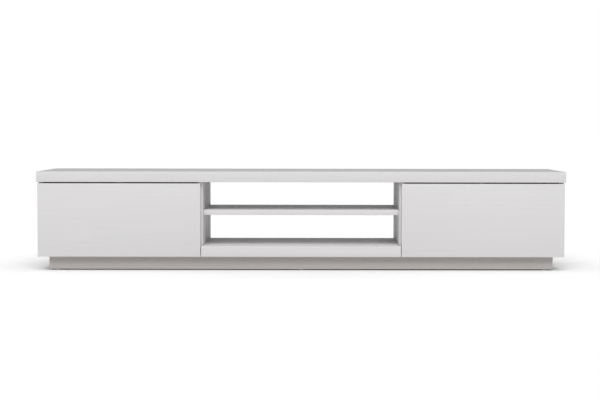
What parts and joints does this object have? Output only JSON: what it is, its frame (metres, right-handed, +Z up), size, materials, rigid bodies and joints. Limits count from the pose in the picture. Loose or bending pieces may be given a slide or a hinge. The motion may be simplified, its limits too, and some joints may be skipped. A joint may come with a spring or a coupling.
{
  "type": "tv stand with doors",
  "caption": "Long low white TV stand: an open bay with a shelf between two cabinets behind drop-down flap doors, on a recessed plinth.",
  "frame": {"origin": "on the floor, under the middle of the stand's footprint", "axes": "+X to the right along the stand's length, seen from the front; +Y from front to back; +Z up"},
  "size_m": [1.8, 0.4, 0.338],
  "materials": {
    "white_laminate": "matt white laminate on chipboard",
    "plinth_laminate": "warm grey-white laminate on chipboard",
    "back_board": "white-faced hardboard",
    "plated_steel": "nickel plated",
    "dark_steel": "zinc plated, dull",
    "grey_plastic": "moulded, fine texture",
    "white_plastic": "moulded, satin",
    "clear_rubber": "soft, frosted",
    "glide_plastic": "hard white nylon"
  },
  "bodies": {
    "carcass": {"top_panel": "white_laminate", "base_panel": "white_laminate", "bay_floor": "white_laminate", "bay_fascia": "white_laminate", "bay_shelf": "white_laminate", "plinth_front": "plinth_laminate", "plinth_back": "plinth_laminate", "left_side_panel": "white_laminate", "left_divider": "white_laminate", "plinth_left_end": "plinth_laminate", "plinth_left_rail": "plinth_laminate", "left_back_panel": "back_board", "left_cable_grommet": "grey_plastic", "left_stay_base": "plated_steel", "left_latch_body": "white_plastic", "left_outer_hinge_arm": "plated_steel", "left_inner_hinge_arm": "plated_steel", "right_side_panel": "white_laminate", "right_divider": "white_laminate", "plinth_right_end": "plinth_laminate", "plinth_right_rail": "plinth_laminate", "right_back_panel": "back_board", "right_cable_grommet": "grey_plastic", "right_stay_base": "plated_steel", "right_latch_body": "white_plastic", "right_outer_hinge_arm": "plated_steel", "right_inner_hinge_arm": "plated_steel", "glide_front_left": "glide_plastic", "glide_front_middle": "glide_plastic", "glide_front_right": "glide_plastic", "glide_back_left": "glide_plastic", "glide_back_middle": "glide_plastic", "glide_back_right": "glide_plastic"},
    "left_flap": {"left_flap_panel": "white_laminate", "left_strike_plate": "plated_steel", "left_stay_bracket": "plated_steel", "left_outer_hinge_cup": "plated_steel", "left_outer_hinge_pin": "dark_steel", "left_outer_bumper": "clear_rubber", "left_inner_hinge_cup": "plated_steel", "left_inner_hinge_pin": "dark_steel", "left_inner_bumper": "clear_rubber"},
    "left_stay_block": {"left_stay_block": "grey_plastic"},
    "left_stay_rod": {"left_stay_rod": "dark_steel"},
    "left_latch_plunger": {"left_latch_plunger": "grey_plastic"},
    "right_flap": {"right_flap_panel": "white_laminate", "right_strike_plate": "plated_steel", "right_stay_bracket": "plated_steel", "right_outer_hinge_cup": "plated_steel", "right_outer_hinge_pin": "dark_steel", "right_outer_bumper": "clear_rubber", "right_inner_hinge_cup": "plated_steel", "right_inner_hinge_pin": "dark_steel", "right_inner_bumper": "clear_rubber"},
    "right_stay_block": {"right_stay_block": "grey_plastic"},
    "right_stay_rod": {"right_stay_rod": "dark_steel"},
    "right_latch_plunger": {"right_latch_plunger": "grey_plastic"}
  },
  "joints": [
    {"name": "left_flap_hinge", "type": "hinge", "parent": "carcass", "child": "left_flap", "pos_m": [-0.61925, -0.1915, 0.0555], "axis": [1, 0, 0], "range_deg": [0, 90]},
    {"name": "left_stay_block_turn", "type": "hinge", "parent": "carcass", "child": "left_stay_block", "pos_m": [-0.862, -0.11659, 0.14925], "axis": [1, 0, 0], "range_deg": [0, 45]},
    {"name": "left_stay_rod_turn", "type": "hinge", "parent": "left_flap", "child": "left_stay_rod", "pos_m": [-0.862, -0.1735, 0.17414], "axis": [1, 0, 0], "range_deg": [-45, 0]},
    {"name": "left_latch_slide", "type": "slide", "parent": "carcass", "child": "left_latch_plunger", "axis": [0, -1, 0], "range_m": [0, 0.01]},
    {"name": "right_flap_hinge", "type": "hinge", "parent": "carcass", "child": "right_flap", "pos_m": [0.61925, -0.1915, 0.0555], "axis": [1, 0, 0], "range_deg": [0, 90]},
    {"name": "right_stay_block_turn", "type": "hinge", "parent": "carcass", "child": "right_stay_block", "pos_m": [0.862, -0.11659, 0.14925], "axis": [1, 0, 0], "range_deg": [0, 45]},
    {"name": "right_stay_rod_turn", "type": "hinge", "parent": "right_flap", "child": "right_stay_rod", "pos_m": [0.862, -0.1735, 0.17414], "axis": [1, 0, 0], "range_deg": [-45, 0]},
    {"name": "right_latch_slide", "type": "slide", "parent": "carcass", "child": "right_latch_plunger", "axis": [0, -1, 0], "range_m": [0, 0.01]}
  ],
  "couplings": [
    {"joint": "left_stay_block_turn", "follows": "left_flap_hinge", "ratio": 0.5},
    {"joint": "left_stay_rod_turn", "follows": "left_flap_hinge", "ratio": -0.5},
    {"joint": "left_latch_slide", "follows": "left_flap_hinge", "m_per_rad": 0.00636},
    {"joint": "right_stay_block_turn", "follows": "right_flap_hinge", "ratio": 0.5},
    {"joint": "right_stay_rod_turn", "follows": "right_flap_hinge", "ratio": -0.5},
    {"joint": "right_latch_slide", "follows": "right_flap_hinge", "m_per_rad": 0.00636}
  ]
}
